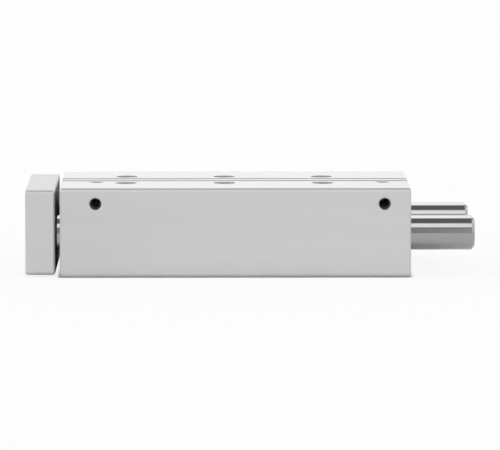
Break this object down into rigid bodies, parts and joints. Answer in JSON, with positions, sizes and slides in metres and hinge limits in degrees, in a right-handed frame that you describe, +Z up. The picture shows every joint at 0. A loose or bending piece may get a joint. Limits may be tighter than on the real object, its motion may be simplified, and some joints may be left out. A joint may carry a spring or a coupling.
{
  "type": "guided pneumatic cylinder",
  "caption": "Flat guided pneumatic cylinder: an aluminium housing with ports, sensor slots and mounting holes, and a yoke plate that a piston rod and parallel guide rods push out.",
  "frame": {"origin": "centre of the housing's base face", "axes": "+Z up out of the base face, +X from the yoke to the rear end along the stroke, -Y the side with the supply ports; the slide extends towards -X"},
  "size_m": [0.1553, 0.064, 0.031],
  "materials": {
    "housing_aluminium": "natural anodised extrusion",
    "yoke_aluminium": "natural anodised, milled",
    "guide_rod_chrome": "hard chromed and ground",
    "piston_rod_steel": "stainless, ground",
    "turned_aluminium": "turned",
    "bush_bronze": "sintered bronze",
    "seal_rubber": "black nitrile",
    "bumper_polyurethane": "polyurethane",
    "ring_spring_steel": "phosphated spring steel",
    "screw_steel": "zinc plated",
    "magnet_ferrite": "pressed ferrite",
    "band_plastic": "filled PTFE"
  },
  "bodies": {
    "housing": {"housing": "housing_aluminium", "port_plugs": "screw_steel", "front_bearing_cap": "turned_aluminium", "rod_bush": "bush_bronze", "rod_wiper_seal": "seal_rubber", "front_cap_o_ring": "seal_rubber", "front_retaining_ring": "ring_spring_steel", "front_bumper": "bumper_polyurethane", "rear_cap": "turned_aluminium", "rear_cap_o_ring": "seal_rubber", "rear_retaining_ring": "ring_spring_steel", "rear_bumper": "bumper_polyurethane", "guide_bush_front_near": "bush_bronze", "guide_bush_front_far": "bush_bronze", "guide_bush_rear_near": "bush_bronze", "guide_bush_rear_far": "bush_bronze", "guide_wiper_near": "seal_rubber", "guide_wiper_far": "seal_rubber"},
    "slide": {"yoke_plate": "yoke_aluminium", "guide_rod_near": "guide_rod_chrome", "guide_rod_far": "guide_rod_chrome", "guide_rod_screws": "screw_steel", "piston_rod": "piston_rod_steel", "piston_rod_screw": "screw_steel", "piston_front_half": "turned_aluminium", "piston_rear_half": "turned_aluminium", "piston_magnet": "magnet_ferrite", "piston_guide_band": "band_plastic", "piston_seal_front": "seal_rubber", "piston_seal_rear": "seal_rubber", "piston_nut": "screw_steel"}
  },
  "joints": [
    {"name": "stroke_slide", "type": "slide", "parent": "housing", "child": "slide", "axis": [-1, 0, 0], "range_m": [0, 0.08]}
  ]
}
